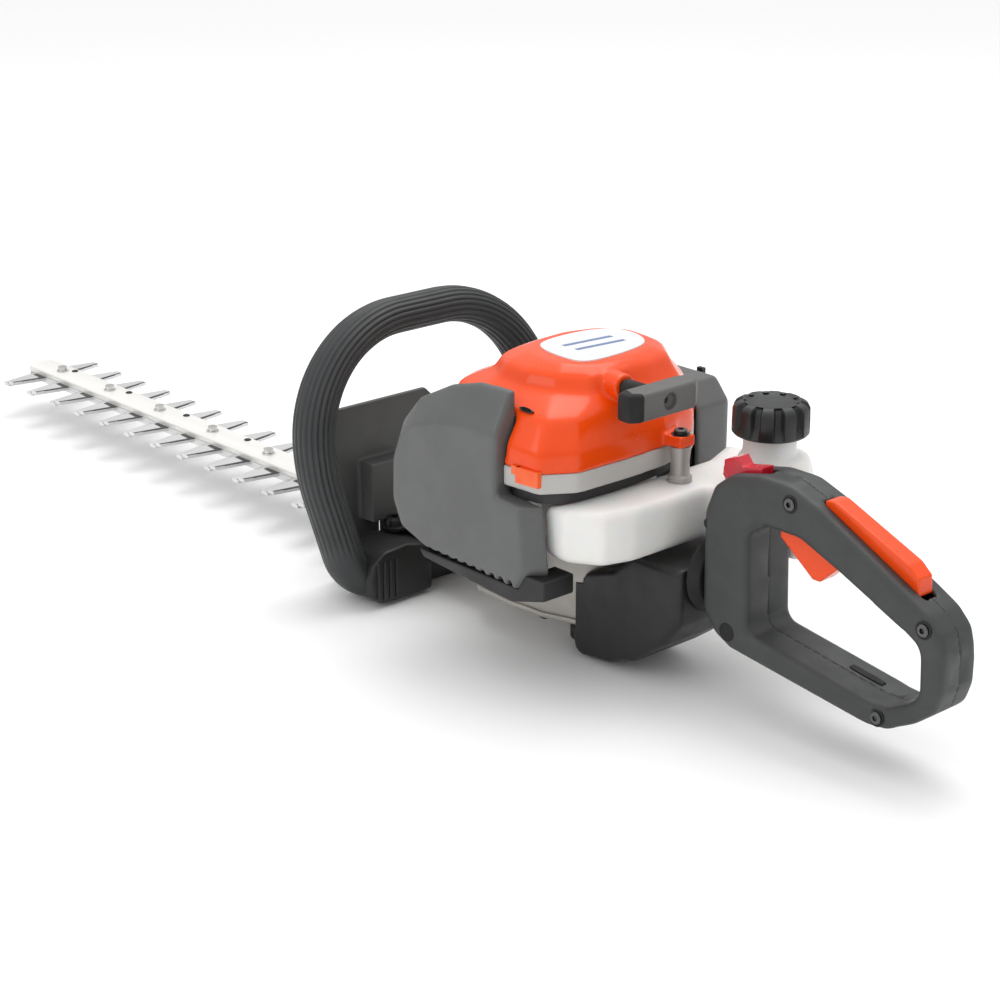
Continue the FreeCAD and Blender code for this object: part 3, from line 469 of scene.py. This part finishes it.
def rounded_line(corners, radii, step):
    """Points along straight runs joined by tangent arcs, about one step apart."""
    line = [corners[0]]
    for before, corner, after, radius in zip(corners, corners[1:], corners[2:], radii):
        back, ahead = (before - corner).normalized(), (after - corner).normalized()
        half = back.angle(ahead) / 2
        centre = corner + (back + ahead).normalized() * radius / math.sin(half)
        start = corner + back * radius / math.tan(half) - centre
        end = corner + ahead * radius / math.tan(half) - centre
        count = max(4, round(start.angle(end) * radius / step))
        for index in range(count + 1):
            part = Quaternion(start.cross(end), start.angle(end) * index / count)
            line.append(centre + part @ start)
    line.append(corners[-1])
    line = [line[0]] + [point for last, point in zip(line, line[1:]) if (point - last).length > step / 10]
    dense = []
    for first, second in zip(line, line[1:]):
        pieces = max(1, round((second - first).length / step))
        dense += [first.lerp(second, index / pieces) for index in range(pieces)]
    return dense + [line[-1]]


def front_loop():
    """Loop handle: an oval tube with lengthwise ribs that fade out towards the foot."""
    other_limb = [(-y, z) for y, z in reversed(LOOP_LIMB)]
    corners = [Vector((0, y, z)) for y, z in LOOP_LIMB + other_limb]
    line = rounded_line(corners, LOOP_BENDS, LOOP_STEP)
    sides = RIBS * RIB_STEPS
    points = []
    for index, centre in enumerate(line):
        along = (line[min(index + 1, len(line) - 1)] - line[max(index - 1, 0)]).normalized()
        outward = Vector((0, -along.z, along.y))
        fade = clamped((centre.z - RIB_FADE_FOOT) / RIB_FADE_LONG)
        for side in range(sides):
            angle = 2 * math.pi * side / sides
            groove = (0.5 + 0.5 * math.cos(RIBS * angle)) ** 3
            outer = 0.5 + 0.5 * clamped(1.6 + math.sin(angle))
            size = 1 - RIB_DEPTH * groove * fade * outer
            deep = Vector((1, 0, 0)) * math.cos(angle) * LOOP_DEEP / 2
            thick = outward * math.sin(angle) * LOOP_THICK / 2
            points.append((centre + (deep + thick) * size) * MM)
    faces = ring_faces(len(line), sides)
    faces.append(tuple(range(sides)))
    faces.append(tuple((len(line) - 1) * sides + side for side in reversed(range(sides))))
    mesh = mesh_from("loop", points, faces)
    lean = Matrix.Rotation(math.radians(-LOOP_LEAN), 4, "Y")
    mesh.transform(Matrix.Translation(Vector((LOOP_X, 0, 0)) * MM) @ lean)
    piece("loop_handle", mesh, ROOT, "dark_plastic", ["front_handle"], [LOOP_GRIP])


# ---------------------------------------------------------------- guard and clamps

GUARD_SCREW = (-157, -34, 0)
CHEEK_X, CHEEK_Y, CHEEK_Z = (-175, -171), (14.5, 32), (12, 39)
CLAMP_X, CLAMP_ROUND = (-163, -126.5), 2.5
CLAMP_SIDE = [(27, 2), (70, 2), (77, 8), (79, 20), (76, 30), (66, 37), (48, 38.5), (27, 33)]
CLAMP_RIBS, CLAMP_RIB_HALF = (73, 68, 63, 58), 0.8
CLAMP_RIB_X, CLAMP_RIB_Z = (-127, -125.6), (5, 31)


def guard_and_bracket():
    """Hand guard with its screw and cheeks, and the black block and clamps that hold the loop's feet."""
    piece("guard_plate", moulded("hand_guard", 1.0, 5), ROOT, "dark_plastic", ["hand_guard"], [GUARD_GREY])
    rings = [(9, 38.2), (9, 40.2), (6.4, 41), (6.2, 44.5), (5, 46), (2.6, 46), (2.4, 43.5), (0.1, 43.5)]
    washer = turned("washer", rings, 40)
    crisp_corners(washer)
    piece("guard_screw", moved(washer, GUARD_SCREW), ROOT, "black_screw")
    cheeks = [
        box_mesh((CHEEK_X[0], y_low, CHEEK_Z[0]), (CHEEK_X[1], y_high, CHEEK_Z[1]))
        for y_low, y_high in ((-CHEEK_Y[1], -CHEEK_Y[0]), CHEEK_Y)
    ]
    piece("guard_cheeks", joined("cheeks", cheeks), ROOT, "black_plastic")
    piece("bracket_block", moulded("handle_bracket", 0.9, 4), ROOT, "black_plastic", ["handle_bracket"])
    for name, hand in (("left", -1), ("right", 1)):
        clamp = soft_prism([(hand * y, z) for y, z in CLAMP_SIDE][::hand], *CLAMP_X, CLAMP_ROUND)
        ribs = [
            box_mesh((CLAMP_RIB_X[0], hand * y - CLAMP_RIB_HALF, CLAMP_RIB_Z[0]),
                     (CLAMP_RIB_X[1], hand * y + CLAMP_RIB_HALF, CLAMP_RIB_Z[1]))
            for y in CLAMP_RIBS
        ]
        piece(f"foot_clamp_{name}", joined("clamp", [clamp] + ribs), ROOT, "black_plastic")


# ---------------------------------------------------------------- covers

SLOT_STARTS, SLOT_WIDE, SLOT_Y, SLOT_Z = range(-58, 24, 8), 4, (-98, -80), (60, 70.5)
LIP_SIDE = [(-60, 67), (-56, 62), (14, 57.5), (24, 57), (52, 65), (52, 77), (36, 77), (30, 67)]
LIP_Y, LIP_ROUND = (-94, -70), 1.2

DOME_FLAT = 1.0  # how far the top of the dome is cut down to seat the label plate
DOME_FOOT, DOME_BACK, SIDE_FRONT = 142, 48, 18
BOSS, LUG = (34, -27, 13, 166), (48, 8, 11, 138)  # front x, middle y, half width, lowest z
DOME_SLOT, DOME_SLOPE = (18, -77.2, 170), 55
TAB_FOOT, TAB_STEP_FOOT, TAB_TOP = 130.5, 135, 140
SKIRT_FOOT, SKIRT_TOP = 119, 126.4

LABEL_OUTLINE = [(-22, -29), (-25, 12), (-9, 30), (18, 18), (24, -27), (11, -38)]
LABEL_DEEP, LABEL_SINK = 1.6, 0.2  # the plate's underside and face, below the dome's top
LABEL_BAR_STARTS, LABEL_BAR_WIDE, LABEL_BAR_DEEP, LABEL_BAR_SINK = (-11, 0), 3, 0.5, 0.05


def side_covers():
    """Silencer cover with outlet slots and a dark lip along its lower edge, and the filter cover."""
    slots = [((x, SLOT_Y[0], SLOT_Z[0]), (x + SLOT_WIDE, SLOT_Y[1], SLOT_Z[1])) for x in SLOT_STARTS]
    mesh = moulded("muffler_cover", 1.1, 24, carve=slots)
    piece("silencer_cover_skin", mesh, ROOT, "grey_plastic", ["muffler_cover"])
    piece("cover_lip", soft_prism(LIP_SIDE, *LIP_Y, LIP_ROUND, "Y"), ROOT, "black_plastic")
    mesh = moulded("air_filter_cover", 1.2, 10)
    piece("filter_cover_skin", mesh, ROOT, "grey_plastic", ["air_filter_cover"])


def on_fitting(point):
    return any(
        point.x > front * MM and abs(point.y - middle * MM) < half * MM and point.z > lowest * MM
        for front, middle, half, lowest in (BOSS, LUG)
    )


def on_dome(point):
    return point.z > DOME_FOOT * MM and point.x < DOME_BACK * MM and not on_fitting(point)


def on_side(point):
    return point.x > SIDE_FRONT * MM and not on_fitting(point)


def starter_dome():
    """Orange starter housing, its top flattened for the label plate, and the light band under it."""
    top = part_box("starter_housing")[1].z - DOME_FLAT * MM

    def settle(point):
        return Vector((point.x, point.y, min(point.z, top)))

    mesh = moulded("starter_housing", 1.0, 12, shape=settle, grip=on_dome, grip_passes=70, plan=on_side)
    piece("starter_dome", mesh, ROOT, "orange_plastic", ["starter_housing"])
    band = moulded("fan_housing_band", 0.9, 3, plan=on_side)
    piece("housing_band", band, ROOT, "light_plastic", ["fan_housing_band"])


def dome_details():
    """Stepped tab over the band, a black piece of painted shade for the vent slot beside the cover, and the
    dark skirt under the band.
    """
    tab = prism([(24, -91), (41, -89.2), (41, -86), (24, -87.8)], TAB_FOOT, TAB_TOP)
    step = prism([(20, -90.6), (26, -90.6), (26, -87), (20, -87)], TAB_STEP_FOOT, TAB_TOP)
    piece("band_tab", joined("tab", [tab, step]), ROOT, "orange_plastic")
    skirt = [
        (13, -84), (38, -82), (48, -66), (49, -30), (47, 2), (38, 34), (16, 60), (-25, 62), (-25, 50),
        (8, 50), (8, -60),
    ]
    piece("fan_skirt", prism(smooth_outline(skirt, 6), SKIRT_FOOT, SKIRT_TOP), ROOT, "black_plastic")
    # the vent slot is a shallow black piece that paints the shade inside it
    slot = turned("slot", [(3.4, -2), (3.4, 0.4), (2.6, 0.4), (2.4, -0.8), (0.1, -0.8)], 32)
    slot.transform(Matrix.Diagonal((1.6, 0.4, 1, 1)))
    slot.transform(Matrix.Rotation(math.radians(DOME_SLOPE), 4, "X"))
    slot.transform(Matrix.Translation(Vector(DOME_SLOT) * MM))
    piece("dome_slot_shade", slot, ROOT, "black_plastic")


def label_plate():
    """A plain label plate with two plain bars, let into the top of the dome."""
    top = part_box("starter_housing")[1].z / MM
    plate = prism(smooth_outline(LABEL_OUTLINE, 8), top - LABEL_DEEP, top - LABEL_SINK)
    outlines = [[(x, -22), (x + LABEL_BAR_WIDE, -22), (x + 7, 14), (x + 4, 14)] for x in LABEL_BAR_STARTS]
    bars = [prism(outline, top - LABEL_BAR_DEEP, top - LABEL_BAR_SINK) for outline in outlines]
    for bar in bars:
        for face in bar.polygons:
            face.material_index = 1
    looks = [LABEL_WHITE, LABEL_BAR]
    piece("label_plate", joined("label", [plate] + bars), ROOT, "light_plastic", materials=looks)


def lug_pillar():
    """Grey pillar between the orange lug and the tank."""
    rings = [(7.5, 118.3), (7.5, 121), (6, 122.5), (5.6, 130), (6.4, 138), (6.4, 139.9)]
    mesh = moved(turned("pillar", rings, 32), (60, 8, 0))
    crisp_corners(mesh)
    piece("lug_pillar", mesh, ROOT, "light_plastic", materials=[SILVER_GREY])


# ---------------------------------------------------------------- tank and cap

CAP_NOTCHES, NOTCH_DEPTH, NOTCH_LOWEST, NOTCH_FADE = 10, 4.2, 3, 4


def tank_and_cap():
    """Milky tank, and the cap with finger notches round its rim."""
    piece("tank_skin", moulded("fuel_tank", 1.3, 34), ROOT, "tank_plastic", ["fuel_tank"])
    low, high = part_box("fuel_cap")
    centre = (low + high) / 2 / MM
    bottom, top = low.z / MM, high.z / MM
    size = (high.x - low.x) / 2 / MM
    rings = [
        (15, bottom), (size - 1.2, bottom), (size - 0.2, bottom + 1.2), (size - 0.1, bottom + 8),
        (size - 0.3, top - 4.5), (size - 1.6, top - 2), (size - 4.2, top - 0.4), (size - 6, top - 0.1),
        (size - 7, top - 0.8), (size - 8, top - 1.4), (6, top - 1.3), (1, top - 1.2),
    ]

    def notched(ring, angle):
        radius, height = ring
        if radius < size - 5 or height <= bottom + 0.5:
            return radius
        bite = clamped((math.cos(CAP_NOTCHES * angle) - 0.1) / 0.45)
        return radius - NOTCH_DEPTH * bite * clamped((height - bottom - NOTCH_LOWEST) / NOTCH_FADE)

    mesh = moved(turned("cap", rings, 240, notched), (centre.x, centre.y, 0))
    crisp_corners(mesh, 50)
    piece("finger_cap", mesh, "cap", "black_plastic", ["fuel_cap"], [CAP_PLASTIC])


# ---------------------------------------------------------------- rear handle

HANDLE_FACE, GRIP_SLIM = 20, 0.25
UPPER_HALF, BOX_BACK = 75, 152  # above the one, and in front of the other, is the front box
CHAMFER_FOOT, CHAMFER_LEAST = 113.5, 5
CREST_X, CREST_Z, CREST_RISE, CREST_FALL = 126, 133, 1.5, 0.75
TAIL_START, TAIL_END, TAIL_SHARE = 222, 262, 0.8
SEAM_HALF, SWITCH_SHARE = 2.6, 0.8
TOP_RUN, BACK_RUN, FRONT_BEND = (150, 96), 246, 134  # where the grip is rounded: x and z, x, z


def handle_width(point):
    """The front box is full width up to a sloping chamfer; the grip above and behind it is slimmer."""
    x, z = point.x / MM, point.z / MM
    crest = CREST_Z - (CREST_FALL if x > CREST_X else CREST_RISE) * (x - CREST_X)
    if z > UPPER_HALF and x < BOX_BACK:
        amount = clamped((z - CHAMFER_FOOT) / max(crest - CHAMFER_FOOT, CHAMFER_LEAST))
    else:
        amount = 1.0 if z > UPPER_HALF else smooth_step(x, TAIL_START, TAIL_END) * TAIL_SHARE
    return Vector((point.x, point.y * (1 - GRIP_SLIM * amount), point.z))


def near_seam(point):
    return abs(point.y) < SEAM_HALF * MM


def on_grip(point):
    x, z = point.x / MM, point.z / MM
    on_top = x > TOP_RUN[0] and z > TOP_RUN[1]
    return not near_seam(point) and (on_top or x > BACK_RUN or z > FRONT_BEND)


def rear_grip():
    """The two halves of the closed handle, the black bracket in front of them and the rubber neck."""
    for side in ("left", "right"):
        node = f"rear_handle_{side}"
        mesh = moulded(node, 1.0, 4, shape=handle_width, grip=on_grip, grip_passes=30, keep=near_seam)
        piece(f"grip_half_{side}", mesh, ROOT, "dark_plastic", [node])
    piece("bracket_skin", moulded("rear_bracket", 1.3, 8), ROOT, "black_plastic", ["rear_bracket"])
    piece("neck_skin", moulded("neck_damper", 0.9, 4), ROOT, "black_rubber", ["neck_damper"])


def switch_width(point):
    return Vector((point.x, point.y * SWITCH_SHARE, point.z))


def rear_controls():
    """Trigger, lockout lever and stop switch."""
    trigger = moulded("throttle_trigger", 0.55, 5, 0.3)
    piece("trigger_skin", trigger, "trigger", "orange_plastic", ["throttle_trigger"])
    lockout = moulded("throttle_lockout", 0.55, 5, 0.3)
    piece("lockout_skin", lockout, "lockout", "orange_plastic", ["throttle_lockout"])
    switch = moulded("stop_switch", 0.5, 5, 0.3, shape=switch_width)
    piece("switch_skin", switch, "switch", "red_plastic", ["stop_switch"])


# ---------------------------------------------------------------- screws

SCREW_SIDES = 36
HANDLE_SCREWS = ((166, 137, 0.75), (262, 92, 0.75), (237, 33.5, 0.92))  # x, z, share of HANDLE_FACE
COVER_SCREWS = ((-62, 30), (-62, -30), (-14, 31), (-14, -31))
LUG_SCREW = (60, 8, 147)
HANDLE_HOLE, HANDLE_RECESS = (127, 49.5), (109.6, 111)
HANDLE_SLOT, HANDLE_SLOT_TILT = (211, 5, 43.3), 8.2


def socket_screw(place, axis, radius, tall=1.4):
    """Screw head with a black rim, a lighter crown and a hexagonal socket."""
    hexagon = radius * 0.42

    def radius_at(ring, angle):
        if ring[0] > hexagon + 0.01 or ring[0] < 0.1:
            return ring[0]
        return ring[0] * math.cos(math.pi / 6) / math.cos(angle % (math.pi / 3) - math.pi / 6)

    rings = [
        (radius * 1.25, -0.3), (radius * 1.25, 0.25), (radius * 1.02, 0.3), (radius * 0.98, 0.1),
        (radius * 0.9, 0.1), (radius * 0.88, tall - 0.5), (radius * 0.74, tall), (hexagon, tall),
        (hexagon, tall - 1.6), (0.05, tall - 1.6),
    ]
    mesh = turned("screw", rings, SCREW_SIDES, radius_at)
    crown = (5, 6)
    for face in mesh.polygons:
        face.material_index = 1 if face.index // SCREW_SIDES in crown else 0
    crisp_corners(mesh)
    return moved(mesh, place, axis)


def screws():
    """Socket screws of the handle, of the gear case cover and of the lug."""
    near = [socket_screw((x, -HANDLE_FACE * share, z), "-Y", 4.2) for x, z, share in HANDLE_SCREWS]
    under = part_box("gear_case_cover")[0].z / MM
    below = []
    for x, y in COVER_SCREWS:
        mesh = socket_screw((0, 0, 0), "Z", 3.2)
        mesh.transform(Matrix.Translation(Vector((x, y, under)) * MM) @ Matrix.Rotation(math.pi, 4, "X"))
        below.append(mesh)
    lug = [socket_screw(LUG_SCREW, "Z", 4.6, 3.2)]
    looks = [LOOKS["black_screw"], SCREW_CORE]
    piece("socket_screws", joined("screws", near + below + lug), ROOT, "black_screw", ["cover_screws"], looks)


def painted_hole_shade():
    """Painted shade: the dark hole, recess and oblong slot in the rear handle are thin black pieces on its
    faces that stand for the shade inside them.
    """
    rings = [(5.6, -0.6), (5.6, 0.15), (5.0, 0.3), (4.6, 0.15), (4.4, 0.08), (0.1, 0.05)]
    hole = moved(turned("hole", rings, 36), (HANDLE_HOLE[0], -HANDLE_FACE, HANDLE_HOLE[1]), "-Y")
    recess = turned("recess", [(3.4, -1.5), (3.4, 0.5), (3.0, 0.6), (0.1, 0.6)], 32)
    recess = moved(recess, (HANDLE_RECESS[0], 0.9 - HANDLE_FACE, HANDLE_RECESS[1]), "-Y")
    oblong = [(-11.5, 0), (-10, 2.1), (10, 2.1), (11.5, 0), (10, -2.1), (-10, -2.1)]
    slot = prism(smooth_outline(oblong, 5), -0.6, 0.35)
    tilt = Matrix.Rotation(math.radians(HANDLE_SLOT_TILT), 4, "Y")
    slot.transform(Matrix.Translation(Vector(HANDLE_SLOT) * MM) @ tilt)
    # thin black pieces of painted shade where the hole, recess and slot are
    piece("painted_hole_shade", joined("holes", [hole, recess, slot]), ROOT, "black_rubber")


# ---------------------------------------------------------------- starter pull

PULL_PAD_Y, PULL_STEM_X = -48, 67
CORD_START, CORD_END, CORD_RADIUS = 40, 60, 1.7


def starter_pull():
    """Pull handle with black ends, and the cord that stretches from the boss to it."""
    grip = moulded("starter_handle", 0.7, 9, 0.3)
    for face in grip.polygons:
        black = face.center.y < PULL_PAD_Y * MM or face.center.x < PULL_STEM_X * MM
        face.material_index = 1 if black else 0
    looks = [LOOKS["grip_rubber"], LOOKS["black_rubber"]]
    piece("pull_grip_skin", grip, "pull_grip", "grip_rubber", ["starter_handle"], looks)
    start, end = CORD_START, CORD_END
    rings = [(CORD_RADIUS, start + step) for step in range(end - start + 1)]
    mesh = turned("cord", rings, 16)
    mesh.transform(Matrix.Rotation(math.radians(90), 4, "Y"))
    low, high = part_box("starter_rope")
    middle = (low + high) / 2
    mesh.transform(Matrix.Translation(Vector((0, middle.y, middle.z))))
    cord = loose(mesh)
    cord.name = "pull_cord"
    mesh.materials.append(LOOKS["rope"])
    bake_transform(cord)


# ---------------------------------------------------------------- blades

TOOTH_PITCH, TOOTH_COUNT, FIRST_TOOTH = 35, 13, -640
ROOT_WIDTH, TIP_WIDTH, TOOTH_ROOT, TOOTH_TIP = 18, 7, 12, 40
REST_OFFSET = 3.75
DOT_COUNT, DOT_PITCH, FIRST_DOT, DOT_Y = 6, 79, -615, 7


def edge_shade_strips(name, body, node, shift, tall):
    """Strips of painted shade along one edge of every tooth, over its real ground bevel, and along the gullet
    behind it, where the shade between the teeth falls.
    """
    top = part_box(node)[1].z / MM
    strips = []
    for side in (-1, 1):
        for tooth in range(TOOTH_COUNT):
            centre = FIRST_TOOTH + shift + TOOTH_PITCH * tooth
            root, tip = centre + ROOT_WIDTH / 2, centre + TIP_WIDTH / 2
            edge = [
                (root - 15, TOOTH_ROOT + 0.6), (root, TOOTH_ROOT + 0.6), (tip, TOOTH_TIP - 0.2),
                (tip - 1.8, TOOTH_TIP - 0.2), (root - 3.6, TOOTH_ROOT + 5), (root - 15, TOOTH_ROOT + 4),
            ]
            strips.append(prism([(x, side * y) for x, y in edge], top - 0.3, top + tall))
    # the strips carry painted shade on the bevels and between the teeth
    piece(name, joined(name, strips), body, "blade_steel", materials=[EDGE_SHADE])


def bar_dots():
    """Small dark screws along the far side of the guide bar."""
    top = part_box("guide_bar")[1].z / MM
    rings = [(2.6, -0.3), (2.6, 0.5), (2.0, 0.8), (1.2, 0.8), (1.0, 0.2), (0.1, 0.2)]
    dots = [
        moved(turned("dot", rings, 20), (FIRST_DOT + DOT_PITCH * step, DOT_Y, top))
        for step in range(DOT_COUNT)
    ]
    piece("bar_screws", joined("dots", dots), ROOT, "black_screw")


def blades():
    bar_dots()
    edge_shade_strips("upper_edge_shade", "upper_blade_set", "upper_blade", REST_OFFSET, 0.12)
    edge_shade_strips("lower_edge_shade", "lower_blade_set", "lower_blade", -REST_OFFSET, 0.05)


# ---------------------------------------------------------------- stage, light and camera, in metres

FLOOR_HALF, FLOOR_LEVEL = 9, -0.0006
LIGHTS_AIM = (0, 0, 0.1)
HORIZON_STRENGTH, ZENITH_STRENGTH = 0.42, 1.2
EYE, SIGHT, LENS, SENSOR = (0.948, -0.930, 0.571), (-0.7006, 0.6273, -0.3400), 82.8, 36


def stage():
    square = ((-1, -1), (1, -1), (1, 1), (-1, 1))
    corners = [Vector((x * FLOOR_HALF, y * FLOOR_HALF, FLOOR_LEVEL)) for x, y in square]
    mesh = mesh_from("floor", corners, [(0, 1, 2, 3)])
    floor = bpy.data.objects.new("floor", mesh)
    bpy.context.scene.collection.objects.link(floor)
    pale = material(
        "pale_floor", (0.955, 0.955, 0.955), 0.6, relief=0.0, mottle=0.0, rough_spread=0.0, specular=0.1)
    mesh.materials.append(pale)


def soft_world():
    """Studio tent: bright overhead, dimmer towards the horizon."""
    world = bpy.data.worlds.new("studio")
    bpy.context.scene.world = world
    world.use_nodes = True
    tree = world.node_tree
    back = tree.nodes["Background"]
    back.inputs["Color"].default_value = (1, 1, 1, 1)
    place = tree.nodes.new("ShaderNodeTexCoord")
    split = tree.nodes.new("ShaderNodeSeparateXYZ")
    height = node_of(tree, "ShaderNodeMapRange", To_Min=HORIZON_STRENGTH, To_Max=ZENITH_STRENGTH)
    height.inputs["From Min"].default_value = 0.0
    height.inputs["From Max"].default_value = 0.9
    tree.links.new(place.outputs["Generated"], split.inputs["Vector"])
    tree.links.new(split.outputs["Z"], height.inputs["Value"])
    tree.links.new(height.outputs["Result"], back.inputs["Strength"])


def soft_light(name, place, size, power):
    """A square lamp that faces the engine."""
    data = bpy.data.lights.new(name, "AREA")
    data.shape = "SQUARE"
    data.size = size
    data.energy = power
    light = bpy.data.objects.new(name, data)
    bpy.context.scene.collection.objects.link(light)
    light.location = place
    light.rotation_euler = (Vector(LIGHTS_AIM) - Vector(place)).to_track_quat("-Z", "Y").to_euler()


def camera():
    """The camera as solved from the photograph."""
    data = bpy.data.cameras.new("camera")
    data.sensor_width = SENSOR
    data.lens = LENS
    eye = bpy.data.objects.new("camera", data)
    bpy.context.scene.collection.objects.link(eye)
    eye.location = EYE
    eye.rotation_euler = Vector(SIGHT).to_track_quat("-Z", "Y").to_euler()
    bpy.context.scene.camera = eye


camera()
stage()
soft_world()
soft_light("overhead", (-0.35, 0.55, 1.8), 1.3, 13)
soft_light("left_window", (-0.6, -1.6, 0.9), 0.8, 3.5)
bpy.context.scene.view_settings.view_transform = "Standard"

dress_cad_nodes()
front_loop()
guard_and_bracket()
side_covers()
starter_dome()
dome_details()
label_plate()
lug_pillar()
tank_and_cap()
rear_grip()
rear_controls()
screws()
painted_hole_shade()
starter_pull()
blades()
